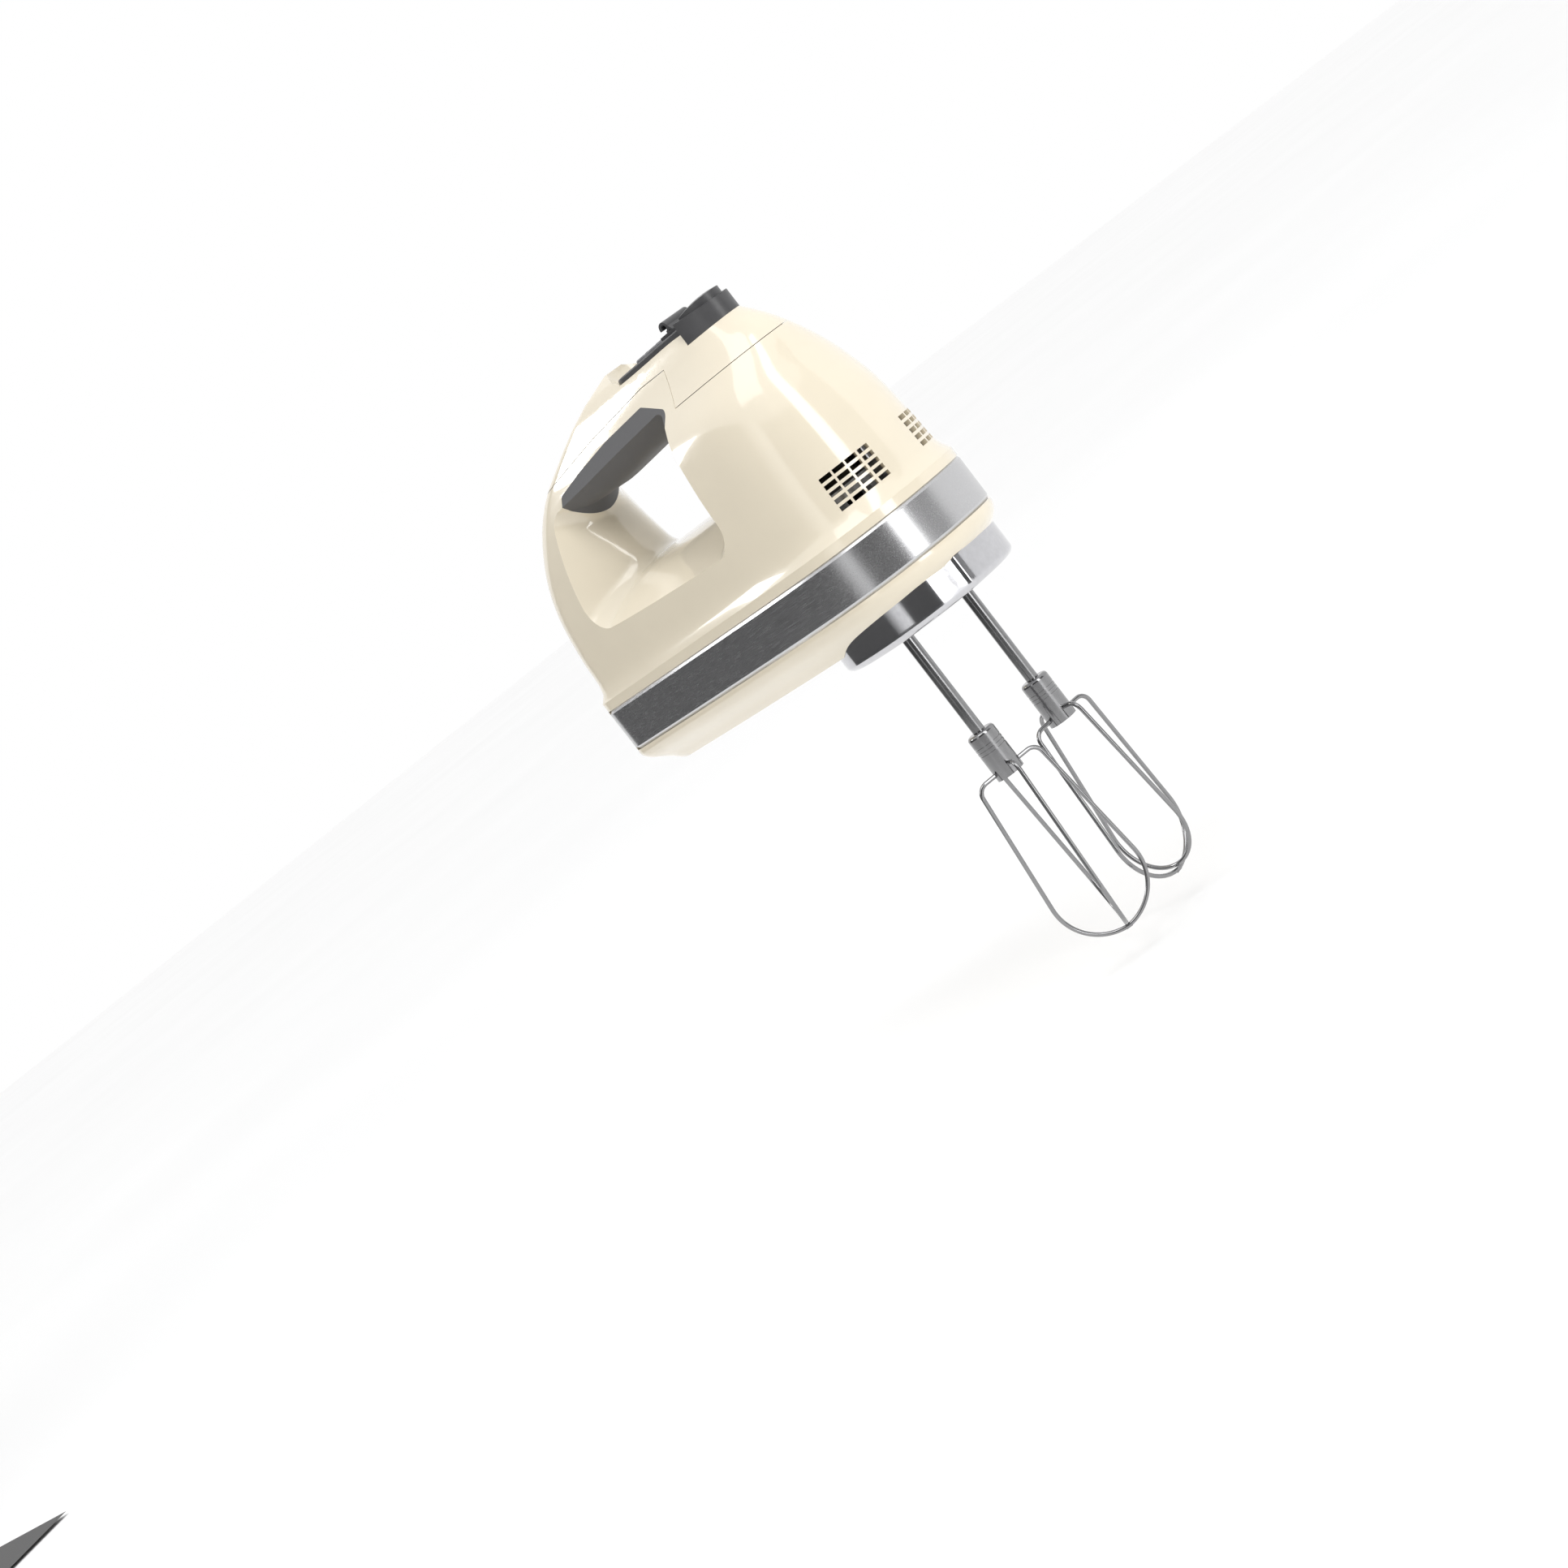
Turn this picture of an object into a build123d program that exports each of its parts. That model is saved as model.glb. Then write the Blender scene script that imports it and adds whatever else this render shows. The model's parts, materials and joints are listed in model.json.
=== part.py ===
from build123d import *
import os
from math import sin, cos, atan2, hypot, radians, degrees, pi

os.makedirs("parts", exist_ok=True)

# Frame: X runs from the heel to the nose, Z is up with the beaters pointing down, Y is across.
# The origin is the middle of the flat heel face, level with the middle of the trim band.

# ---- driving dimensions, mm ----
SPINDLE_X = 163.0        # both beater axes, from the heel face
SPINDLE_Y = 20.2         # half the distance between the beater axes
NOSE_X = 153.0           # where the straight sides meet the rounded nose
WALL = 2.4               # housing wall
SEAM_GAP = 0.25          # groove left at a parting line
GRIP_DEPTH = 2.0         # thickness of the soft grip
BAND_TOP = 10.0
BAND_BOTTOM = -10.0
BAND_DEPTH = 1.2
BAND_REAR = 7.0          # the band stops this far from the heel face
FLANGE_TOP = 14.0        # ledge above the band, before the walls draw in

# Plan of the upper housing at each height:
# height, rear end, rear half width, nose length, nose half width, nose squareness
UPPER_PLANS = [
    (17.0, 1.8, 32.4, 49.6, 42.6, 2.3),
    (21.0, 2.6, 31.6, 48.3, 41.3, 2.3),
    (33.0, 3.2, 31.0, 47.5, 40.6, 2.3),
    (52.0, 5.4, 28.8, 45.6, 38.8, 2.3),
    (66.0, 9.6, 26.0, 42.4, 35.8, 2.25),
    (78.0, 16.2, 22.6, 38.4, 31.9, 2.2),
    (88.0, 25.0, 19.2, 35.6, 24.4, 2.15),
    (96.0, 36.6, 16.6, 31.4, 18.6, 2.1),
    (103.0, 53.6, 14.4, 25.2, 14.4, 2.1),
    (109.0, 69.0, 12.2, 18.5, 11.8, 2.1),
    (114.0, 84.6, 9.0, 12.4, 9.0, 2.1),
    (117.6, 99.0, 4.6, 6.0, 5.0, 2.1),
]
FLANGE_PLAN = (-0.3, 34.2, 51.5, 44.5, 2.3)
PARTING_Z = -8.0         # where the upper and lower housings meet, behind the band
LOFT_STEP = 4.0          # height of each band of the drawn-in walls
# Plan of the lower housing: height and how far the wall has drawn in from the flange
LOWER_INSETS = [(-10.0, 0.0), (-13.0, 0.15), (-15.5, 1.5), (-18.5, 4.6), (-21.5, 7.6), (-24.5, 10.2)]
REAR_CORNER = 15.0       # length over which the heel's corners round off
REAR_SQUARENESS = 3.4

SEAM_Z = 89.6            # parting line round the front of the handle cover
OPENING_DECK_Z = 49.0
OPENING_FRONT_X = 131.5
OPENING_TOP_Z = 80.0
# How the hand opening widens away from the middle: distance across, then how far
# its rear wall, deck, top and front wall have moved back
OPENING_FLARES = [
    (0.0, 0.0, 0.0, 0.0, 0.0),
    (8.0, 1.2, 0.4, 0.6, 0.1),
    (13.0, 4.0, 1.2, 2.4, 0.4),
    (17.0, 8.0, 2.3, 5.5, 0.9),
    (21.0, 13.0, 4.0, 9.0, 1.7),
    (28.0, 22.0, 8.0, 12.5, 3.8),
    (37.0, 30.0, 13.5, 14.5, 7.0),
    (47.0, 37.0, 19.0, 15.5, 11.0),
]

COLLAR_X = 162.0
COLLAR_LENGTH = 38.6
COLLAR_WIDTH = 37.8
COLLAR_TOP = -17.6
COLLAR_BOTTOM = -31.8

PANEL_TOP = 112.6
PANEL_START_X = 106.0
PANEL_END_X = 157.6
PANEL_HALF_WIDTH = 11.0
CAP_START_X = 158.0
CAP_BASE_Z = 105.0

# motor and gears
MOTOR_Z = 14.0
WHEEL_TEETH = 26
WORM_STARTS = 2
WHEEL_PITCH_R = 15.0
WORM_PITCH_R = SPINDLE_Y - WHEEL_PITCH_R
MODULE = 2 * WHEEL_PITCH_R / WHEEL_TEETH
WHEEL_WIDTH = 9.0
WORM_LENGTH = 20.0
WORM_LEAD = WORM_STARTS * pi * MODULE
TOOTH_SHARE = 0.36       # share of the pitch a tooth takes at the pitch line
MOTOR_SHAFT_R = 2.5
CORE_START_X = 70.0
CORE_LENGTH = 30.0
ARMATURE_R = 15.0

STATOR_HALF_HEIGHT = 24.0
BEARING_R = 8.0
BUSH_R = 7.0
BUSH_LOW_TOP = -11.0
BUSH_HIGH_BOTTOM = 23.5

# controls, front cap and fittings
PANEL_FLOOR = 110.0
LENS_X = 113.4
KEY_PLACES = (124.6, 133.2)
KEY_BOTTOM = 110.95
KEY_TOP = 113.9
SLIDE_X = 148.6
CAP_PLAN = (58.0, 13.6, 23.0, 13.2, 2.1)
EJECTOR_X = 167.0
ROD_GUIDE_Z = 81.0
GLAND_R = 3.6
GLAND_Z = 34.0
SCREW_R = 2.0
SCREW_HEAD_R = 3.6
SCREW_HEAD_Z = -18.0

# nose grilles
VENT_ROWS = 5
VENT_COLUMNS = 4
VENT_FIRST_ANGLE = 16.5
VENT_ANGLE_STEP = 8.8
VENT_LENGTH = 5.2
VENT_HEIGHT = 1.9
VENT_BOTTOM_Z = 22.0
VENT_PITCH = 3.15

# beaters
BEATER_SHAFT_R = 2.6
SHAFT_TOP_Z = 29.0
HUB_R = 6.0
HUB_TOP_Z = -77.8
HUB_LENGTH = 20.2
WIRE_R = 0.9
WIRE_EXIT_Z = -95.2
LOOP_SHOULDER_R = 14.6
LOOP_R = 21.8
LOOP_BOTTOM_Z = -173.0
LOOP_STEP = 2.1          # how much higher the inner loop crosses than the outer one
SPINDLE_R = 5.0
SPINDLE_BORE_R = BEATER_SHAFT_R + 0.06
SPINDLE_TOP_Z = 36.0
SPINDLE_BOTTOM_Z = -31.0
# turn of the wires about each beater's axis, at the hub and at the bottom, in degrees
BEATER_TURNS = {-1: (60.0, 45.0), 1: (75.0, 90.0)}


def half_outline(rear, rear_half, nose_length, nose_half, squareness, inset=0.0, nose_x=NOSE_X):
    """Points of one side of a plan outline, from the middle of the heel to the tip of the nose."""
    rear += inset
    rear_half -= inset
    nose_length -= inset
    nose_half -= inset
    corner = min(REAR_CORNER, 0.9 * rear_half)
    corner_x = rear + corner
    points = []
    for share in (0.0, 0.16, 0.34, 0.5, 0.66, 0.82, 1.0):
        angle = share * pi / 2
        x = corner_x - corner * cos(angle) ** (2 / REAR_SQUARENESS)
        y = sin(angle) ** (2 / REAR_SQUARENESS)
        points.append((x, y * side_half(x, corner_x, rear_half, nose_half, nose_x)))
    for share in (0.3, 0.65, 1.0):
        x = corner_x + (nose_x - corner_x) * share
        points.append((x, side_half(x, corner_x, rear_half, nose_half, nose_x)))
    for share in (0.2, 0.4, 0.58, 0.74, 0.88, 1.0):
        angle = (1 - share) * pi / 2
        x = nose_x + nose_length * cos(angle) ** (2 / squareness)
        points.append((x, nose_half * sin(angle) ** (2 / squareness)))
    points[0] = (points[0][0], 0.0)
    points[-1] = (points[-1][0], 0.0)
    return points


def side_half(x, corner_x, rear_half, nose_half, nose_x):
    """Half width of the tapering side at x, widest at the nose."""
    along = min(max((x - corner_x) / (nose_x - corner_x), -0.15), 1.0)
    return nose_half - (nose_half - rear_half) * (1 - along) ** 1.7


def outline_shares():
    """Curve parameters of the outline points, averaged over the plans so that every loft shares them."""
    totals = [0.0] * len(half_outline(*FLANGE_PLAN))
    for plan in [FLANGE_PLAN] + [rest for height, *rest in UPPER_PLANS]:
        points = half_outline(*plan)
        lengths = [0.0]
        for start, end in zip(points, points[1:]):
            lengths.append(lengths[-1] + hypot(end[0] - start[0], end[1] - start[1]))
        totals = [total + length / lengths[-1] for total, length in zip(totals, lengths)]
    return [total / totals[-1] for total in totals]


def plan_face(z, plan, inset=0.0):
    """A closed plan outline at height z, as a face of two mirrored curves."""
    points = half_outline(*plan, inset=inset)
    shares = outline_shares()
    heel = Vector(0, hypot(points[1][0] - points[0][0], points[1][1]) / shares[1], 0)
    nose = Vector(0, -hypot(points[-1][0] - points[-2][0], points[-2][1]) / (1 - shares[-2]), 0)
    left = Edge.make_spline(
        [Vector(x, y, z) for x, y in points], tangents=[heel, nose], parameters=shares, scale=False
    )
    right = Edge.make_spline(
        [Vector(x, -y, z) for x, y in reversed(points)],
        tangents=[nose, heel],
        parameters=[1 - share for share in reversed(shares)],
        scale=False,
    )
    return make_face(Wire([left, right]))


def plan_at(z):
    """The upper housing's plan at any height, eased between the rows of UPPER_PLANS."""
    heights = [row[0] for row in UPPER_PLANS]
    low = min(sum(1 for height in heights if height <= z) - 1, len(heights) - 2)
    span = heights[low + 1] - heights[low]
    t = (z - heights[low]) / span
    plan = []
    for column in range(1, len(UPPER_PLANS[0])):
        start, end = UPPER_PLANS[low][column], UPPER_PLANS[low + 1][column]
        lean_in, lean_out = plan_lean(low, column) * span, plan_lean(low + 1, column) * span
        plan.append(
            start * (2 * t**3 - 3 * t**2 + 1) + lean_in * (t**3 - 2 * t**2 + t)
            + end * (3 * t**2 - 2 * t**3) + lean_out * (t**3 - t**2)
        )
    return plan


def plan_lean(row, column):
    """How fast a plan value changes with height at one row of UPPER_PLANS."""
    before = UPPER_PLANS[max(row - 1, 0)]
    after = UPPER_PLANS[min(row + 1, len(UPPER_PLANS) - 1)]
    return (after[column] - before[column]) / (after[0] - before[0])


def oval_face(z, centre_x, length, width, squareness=2.2):
    """A rounded oval centred on the Y axis plane."""
    shares = (0.0, 0.2, 0.4, 0.6, 0.8, 1.0)
    quarter = [(cos(s * pi / 2) ** (2 / squareness), sin(s * pi / 2) ** (2 / squareness)) for s in shares]
    front = [(centre_x + length * c, width * s) for c, s in quarter]
    rear = [(centre_x - length * c, width * s) for c, s in reversed(quarter)][1:]
    half = front + rear
    half[0] = (half[0][0], 0.0)
    half[-1] = (half[-1][0], 0.0)
    left = Spline(*[(x, y, z) for x, y in half], tangents=[(0, 1, 0), (0, -1, 0)])
    right = Spline(*[(x, -y, z) for x, y in reversed(half)], tangents=[(0, -1, 0), (0, 1, 0)])
    return make_face(Wire([left.edge(), right.edge()]))


def prism(face, depth):
    """The face extruded upwards by depth."""
    return extrude(face, amount=depth, dir=(0, 0, 1))


def block(x0, x1, y0, y1, z0, z1):
    """A plain box between two corners."""
    return Pos((x0 + x1) / 2, (y0 + y1) / 2, (z0 + z1) / 2) * Box(x1 - x0, y1 - y0, z1 - z0)


def rod_z(x, y, z0, z1, radius):
    """An upright cylinder."""
    return Pos(x, y, (z0 + z1) / 2) * Cylinder(radius, z1 - z0)


def rod_x(x0, x1, radius, y=0.0, z=MOTOR_Z):
    """A cylinder along X, on the motor's axis unless told otherwise."""
    return Pos((x0 + x1) / 2, y, z) * Rot(0, 90, 0) * Cylinder(radius, x1 - x0)


def side_prism(points, half_width, radius=0.0):
    """A side-view outline in X and Z, carried across to both sides."""
    flat = [(x, 0, z) for x, z in points]
    wire = FilletPolyline(*flat, radius=radius, close=True) if radius else Polyline(*flat, close=True)
    face = make_face(wire)
    return extrude(face, amount=half_width, dir=(0, 1, 0), both=True)


# ---- shared forms ----

def upper_form(inset=0.0, base=PARTING_Z - 2):
    """The upper housing as one solid: ledge, drawn-in walls and handle."""
    first, last = UPPER_PLANS[0][0], UPPER_PLANS[-1][0]
    steps = round((last - first) / LOFT_STEP)
    sections = [plan_face(FLANGE_TOP, FLANGE_PLAN, inset)]
    for step in range(steps + 1):
        z = first + (last - first) * step / steps
        plan = plan_at(z)
        if min(plan[1], plan[3]) > 2 * inset + 1.5:
            lowered = inset * max(z - 100, 0) / (last - 100)
            sections.append(plan_face(z - lowered, plan, inset))
    ledge = prism(plan_face(base, FLANGE_PLAN, inset), FLANGE_TOP - base)
    return ledge + loft(sections, ruled=True)


def lower_form(inset=0.0):
    """The lower housing as one solid, boat shaped under the band."""
    rim = prism(plan_face(BAND_BOTTOM, FLANGE_PLAN, inset), PARTING_Z - SEAM_GAP / 2 - BAND_BOTTOM)
    faces = []
    for z, drawn_in in LOWER_INSETS:
        faces.append(plan_face(z + (inset if drawn_in > 4 else 0), FLANGE_PLAN, drawn_in + inset))
    return rim + loft(faces)


def opening_form(grow=0.0):
    """The hand opening: narrowest in the middle and scooped out towards both sides."""
    flares = [(-y, *rest) for y, *rest in reversed(OPENING_FLARES)] + OPENING_FLARES[1:]
    sections = []
    for y, rear, deck, top, front in flares:
        points = [
            (OPENING_FRONT_X + grow + front, OPENING_DECK_Z - grow - deck),
            (OPENING_FRONT_X + grow + front * 0.6, OPENING_TOP_Z + 3.4 + grow + top),
            (72.0, OPENING_TOP_Z + grow + top),
            (47.5 - grow - rear * 0.72, OPENING_TOP_Z + 1.6 + grow + top * 0.75),
            (60.0 - grow - rear, OPENING_DECK_Z - grow - deck),
        ]
        radii = [5.0 + 0.4 * deck, 4.0, 30.0, 6.0, 8.0 + 0.5 * deck]
        wire = FilletPolyline(*[(x, y, z) for x, z in points], radius=radii, close=True)
        sections.append(make_face(wire))
    return loft(sections)


def grip_zone(grow=0.0):
    """Side view of the soft grip, carried across both sides of the handle."""
    points = [
        (48.6 - grow, 85.0),
        (52.0 - grow, 91.6 + grow),
        (70.0, 94.6 + grow),
        (92.0, 97.2 + grow),
        (120.0 + grow * 0.6, 98.6 + grow),
        (136.0 + grow, 91.6),
        (131.6 + grow, 82.0 - grow),
        (131.6 + grow, 70.0),
        (52.0, 70.0),
    ]
    return side_prism(points, 40.0, radius=2.4)


def cover_zone(gap=0.0):
    """Everything above the parting line of the handle cover, as a side-view outline."""
    points = [
        (20.0, 94.0 + gap),
        (34.0, 95.4 + gap),
        (82.0, 101.2 + gap),
        (124.0, 104.4 + gap),
        (140.5 + gap, 104.0 + gap),
        (142.5 + gap, SEAM_Z + gap),
        (230.0, SEAM_Z + gap),
        (230.0, 150.0),
        (20.0, 150.0),
    ]
    return side_prism(points, 60.0)


def band_ring(outset, inset, z0, z1):
    """The strip of space that the trim band fills, from its rear ends round the nose."""
    ring = prism(plan_face(z0, FLANGE_PLAN, -outset), z1 - z0) - prism(plan_face(z0 - 1, FLANGE_PLAN, inset), z1 - z0 + 2)
    return ring & block(BAND_REAR, 240, -60, 60, z0 - 1, z1 + 1)


def vent_slots():
    """Both nose grilles, five rows of four slots each, as cutting blocks."""
    cuts = []
    length, half, square = 47.9, 41.0, 2.3
    for side in (-1, 1):
        for column in range(VENT_COLUMNS):
            angle = radians(VENT_FIRST_ANGLE + column * VENT_ANGLE_STEP)
            x = NOSE_X + length * cos(angle) ** (2 / square)
            y = half * sin(angle) ** (2 / square)
            nudge = angle + 0.02
            x2 = NOSE_X + length * cos(nudge) ** (2 / square)
            y2 = half * sin(nudge) ** (2 / square)
            heading = degrees(atan2(y2 - y, x2 - x)) * side
            for row in range(VENT_ROWS):
                z = VENT_BOTTOM_Z + row * VENT_PITCH
                cuts.append(Pos(x, side * y, z) * Rot(0, 0, heading) * Box(VENT_LENGTH, 12, VENT_HEIGHT))
    return cuts


def screw_places():
    """X and Y of the four screws that hold the lower housing."""
    return [(x, side * y) for x, y in ((24.0, 19.0), (128.0, 28.0)) for side in (-1, 1)]


# ---- housing ----

def hollow_form(inset):
    """The space left inside walls of the given thickness."""
    return upper_form(inset) - opening_form(inset)


def housing_cavity():
    """The space inside the upper housing, less its ribs, bosses, shelf and the step behind the grip."""
    cavity = hollow_form(WALL)
    cavity -= grip_zone(WALL) - hollow_form(2 * WALL)
    cavity -= block(136, 182, -40, 40, ROD_GUIDE_Z - 3, ROD_GUIDE_Z) - rod_z(EJECTOR_X, 0, 60, 90, 3.4)
    cavity -= block(100, 162, -20, 20, PANEL_FLOOR - 2.2, PANEL_FLOOR)
    for x, y in screw_places():
        reach = sorted((y, y + (18 if y > 0 else -18)))
        cavity -= rod_z(x, y, PARTING_Z - 3, 13, 3.8) + block(x - 1.1, x + 1.1, *reach, PARTING_Z - 3, 13)
    return cavity


def build_housing():
    """Upper housing, handle cover and grip."""
    solid = upper_form() - opening_form()
    cavity = housing_cavity()
    recess = grip_zone(0.02) - hollow_form(GRIP_DEPTH + 0.1)
    grip = (solid & grip_zone()) - hollow_form(GRIP_DEPTH)
    cover = (solid & cover_zone()) - cavity - recess
    upper = (solid - cover_zone(-SEAM_GAP)) - cavity - recess
    upper -= block(-10, 240, -60, 60, PARTING_Z - 4, PARTING_Z + SEAM_GAP / 2)
    upper -= block(-10, 0, -60, 60, -40, 16)
    for x, y in screw_places():
        upper -= rod_z(x, y, PARTING_Z - 2, 9.5, SCREW_R)
    upper -= band_ring(2, BAND_DEPTH + 0.05, PARTING_Z - 1, BAND_TOP + 0.05)
    upper = upper - vent_slots() - rod_x(-5, 30, GLAND_R + 1.6, z=GLAND_Z)
    return upper, finish_cover(cover), grip


def finish_cover(cover):
    """The cover with its recess for the controls and its seat for the front cap."""
    half_width = PANEL_HALF_WIDTH + 0.2
    centre_x = PANEL_START_X + PANEL_HALF_WIDTH
    recess = block(PANEL_START_X + 6, PANEL_END_X + 0.4, -half_width, half_width, PANEL_FLOOR, 130)
    recess += rod_z(centre_x, 0, PANEL_FLOOR, 130, half_width)
    recess += Pos(centre_x, 0, 119.5) * Sphere(PANEL_HALF_WIDTH + 3.4)
    cover -= recess
    cover -= block(CAP_START_X - 0.1, 240, -60, 60, CAP_BASE_Z, 140)
    cover -= rod_z(EJECTOR_X, 0, 95, 120, 3.4)
    cover -= block(SLIDE_X - 5.9, SLIDE_X + 2.7, -4.3, 4.3, 95, 120)
    return cover


def lower_housing():
    """The boat-shaped tray under the band, cut away for the beater collar."""
    skin = WALL + BAND_DEPTH
    cavity = lower_form(skin) + prism(plan_face(BAND_BOTTOM, FLANGE_PLAN, skin), 12)
    cavity -= prism(oval_face(-45, COLLAR_X, COLLAR_LENGTH + WALL, COLLAR_WIDTH + WALL), 45 + COLLAR_TOP + WALL)
    for x in (76, 94):
        cavity -= block(x - 1.5, x + 1.5, -26, 26, -30, MOTOR_Z - STATOR_HALF_HEIGHT)
    for x, y in screw_places():
        cavity -= rod_z(x, y, -30, 0, 5.2)
    tray = lower_form() - cavity
    tray -= prism(oval_face(-45, COLLAR_X, COLLAR_LENGTH + 0.1, COLLAR_WIDTH + 0.1), 45 + COLLAR_TOP + 0.1)
    tray -= band_ring(2, BAND_DEPTH + 0.05, BAND_BOTTOM - 0.05, 1)
    tray -= block(-10, 0, -60, 60, -40, 16)
    for side in (-1, 1):
        tray -= rod_z(SPINDLE_X, side * SPINDLE_Y, -40, 0, BUSH_R)
    for x, y in screw_places():
        tray -= rod_z(x, y, -40, 2, SCREW_R + 0.25)
        tray -= rod_z(x, y, -40, SCREW_HEAD_Z, SCREW_HEAD_R + 0.4)
    return tray


def trim_band():
    """The band strip with a bevel along its top and bottom edges."""
    bevel, slope = 1.5, 0.75
    core = prism(plan_face(BAND_BOTTOM + bevel, FLANGE_PLAN), BAND_TOP - BAND_BOTTOM - 2 * bevel)
    top = loft([plan_face(BAND_TOP - bevel, FLANGE_PLAN), plan_face(BAND_TOP, FLANGE_PLAN, slope)], ruled=True)
    foot = loft([plan_face(BAND_BOTTOM, FLANGE_PLAN, slope), plan_face(BAND_BOTTOM + bevel, FLANGE_PLAN)], ruled=True)
    strip = core + top + foot - prism(plan_face(BAND_BOTTOM - 1, FLANGE_PLAN, BAND_DEPTH), 24)
    return strip & block(BAND_REAR + 0.15, 240, -60, 60, -20, 20)


def beater_collar():
    """The bright oval cup that the beaters come out of."""
    rounding = [(0.0, 2.6), (0.35, 1.3), (1.3, 0.35), (2.6, 0.0)]
    sections = [
        oval_face(COLLAR_BOTTOM + rise, COLLAR_X, COLLAR_LENGTH - draw, COLLAR_WIDTH - draw) for rise, draw in rounding
    ]
    outer = loft(sections) + prism(sections[-1], COLLAR_TOP - COLLAR_BOTTOM - rounding[-1][0])
    inner = prism(
        oval_face(COLLAR_BOTTOM + 1.6, COLLAR_X, COLLAR_LENGTH - 1.8, COLLAR_WIDTH - 1.8), COLLAR_TOP - COLLAR_BOTTOM
    )
    cup = outer - inner
    for side in (-1, 1):
        cup -= rod_z(SPINDLE_X, side * SPINDLE_Y, -40, 0, SPINDLE_R + 0.8)
    return cup


def cord_gland():
    """A rubber bush in the back of the handle post, with the hole that a supply cord would fill."""
    bush = rod_x(2.2, 9.2, GLAND_R + 1.5, z=GLAND_Z) + rod_x(7.0, 9.2, GLAND_R + 3.2, z=GLAND_Z)
    return bush - rod_x(-5, 20, GLAND_R, z=GLAND_Z)


def housing_screws():
    """Four self-tapping screws from below."""
    screws = []
    for x, y in screw_places():
        head = rod_z(x, y, SCREW_HEAD_Z - 2.4, SCREW_HEAD_Z, SCREW_HEAD_R)
        slot_a = block(x - 2.0, x + 2.0, y - 0.45, y + 0.45, SCREW_HEAD_Z - 3, SCREW_HEAD_Z - 1.3)
        slot_b = block(x - 0.45, x + 0.45, y - 2.0, y + 2.0, SCREW_HEAD_Z - 3, SCREW_HEAD_Z - 1.3)
        screws.append(head + rod_z(x, y, SCREW_HEAD_Z, 8.5, SCREW_R) - slot_a - slot_b)
    return Compound(children=[s.solids()[0] for s in screws])


# ---- controls ----

def control_panel():
    """The dark strip on top of the handle, with openings for the lens, keys and slide."""
    body = block(PANEL_START_X + PANEL_HALF_WIDTH, PANEL_END_X, -PANEL_HALF_WIDTH, PANEL_HALF_WIDTH, PANEL_FLOOR, PANEL_TOP)
    body += rod_z(PANEL_START_X + PANEL_HALF_WIDTH, 0, PANEL_FLOOR, PANEL_TOP, PANEL_HALF_WIDTH)
    top_edges = body.edges().filter_by_position(Axis.Z, PANEL_TOP - 0.1, PANEL_TOP + 0.1)
    body = fillet(top_edges, 0.7)
    body -= lens_prism(0.05, PANEL_TOP - 1.2, 120)
    for x in KEY_PLACES:
        body -= key_prism(x, 0.25, 100, 120)
    return body - block(SLIDE_X - 5.9, SLIDE_X + 2.7, -4.3, 4.3, 95, 120)


def lens_prism(grow, z0, z1):
    """The oval outline of the speed display."""
    oval = Ellipse(5.4 + grow, 6.6 + grow)
    return Pos(LENS_X, 0, z0) * extrude(oval, amount=z1 - z0)


def key_prism(x, grow, z0, z1):
    """The outline of one speed key."""
    outline = RectangleRounded(6.6 + 2 * grow, 12.4 + 2 * grow, 2.2 + grow)
    return Pos(x, 0, z0) * extrude(outline, amount=z1 - z0)


def speed_key(x, mark_up):
    """A speed key, with a raised arrowhead that points forward or back."""
    body = key_prism(x, 0.0, KEY_BOTTOM, KEY_TOP)
    body = fillet(body.edges().filter_by_position(Axis.Z, KEY_TOP - 0.1, KEY_TOP + 0.1), 0.8)
    turn = 0 if mark_up else 180
    arrow = Pos(x, 0, KEY_TOP - 0.2) * Rot(0, 0, turn) * extrude(RegularPolygon(1.6, 3), amount=0.55)
    return body + arrow


def power_slide():
    """The thumb slide: a foot in its slot and a lip that rises and rolls back."""
    foot = block(SLIDE_X - 2.2, SLIDE_X + 2.2, -3.9, 3.9, 107.2, 113.4)
    plate = block(SLIDE_X - 6.2, SLIDE_X + 3.4, -7.4, 7.4, PANEL_TOP + 0.3, PANEL_TOP + 1.5)
    roll = Pos(SLIDE_X - 1.2, 0, 116.1) * Rot(90, 0, 0) * (Cylinder(2.6, 14.8) - Cylinder(1.3, 20))
    roll -= block(SLIDE_X - 9, SLIDE_X - 1.2, -10, 10, 110, 115.7)
    riser = side_prism([
        (SLIDE_X + 3.4, PANEL_TOP + 0.5), (SLIDE_X + 1.4, 116.1),
        (SLIDE_X + 0.1, 116.1), (SLIDE_X + 1.4, PANEL_TOP + 1.3),
    ], 7.4)
    return foot + plate + riser + roll


def front_cap():
    """The dark rim at the front of the handle, with a well for the ejector button."""
    outer = prism(plan_face(CAP_BASE_Z, CAP_PLAN), 9.6) & block(CAP_START_X, 240, -30, 30, 90, 130)
    slope = side_prism([(150, 115.4), (185, 112.0), (185, 130), (150, 130)], 40)
    outer -= slope
    well = prism(plan_face(CAP_BASE_Z + 1.2, CAP_PLAN, 1.8), 20) & block(CAP_START_X + 1.8, 240, -30, 30, 90, 130)
    return outer - well - rod_z(EJECTOR_X, 0, 95, 120, 3.4)


def ejector_button():
    """The crowned button inside the front cap."""
    blank = prism(plan_face(111.2, CAP_PLAN, 2.1), 9) & block(CAP_START_X + 2.1, 240, -30, 30, 90, 130)
    crown = Pos(EJECTOR_X - 1, 0, 117.0 - 40) * Sphere(40)
    body = blank & crown
    return body - rod_z(EJECTOR_X, 0, 105, 113.2, 2.2)


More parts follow.
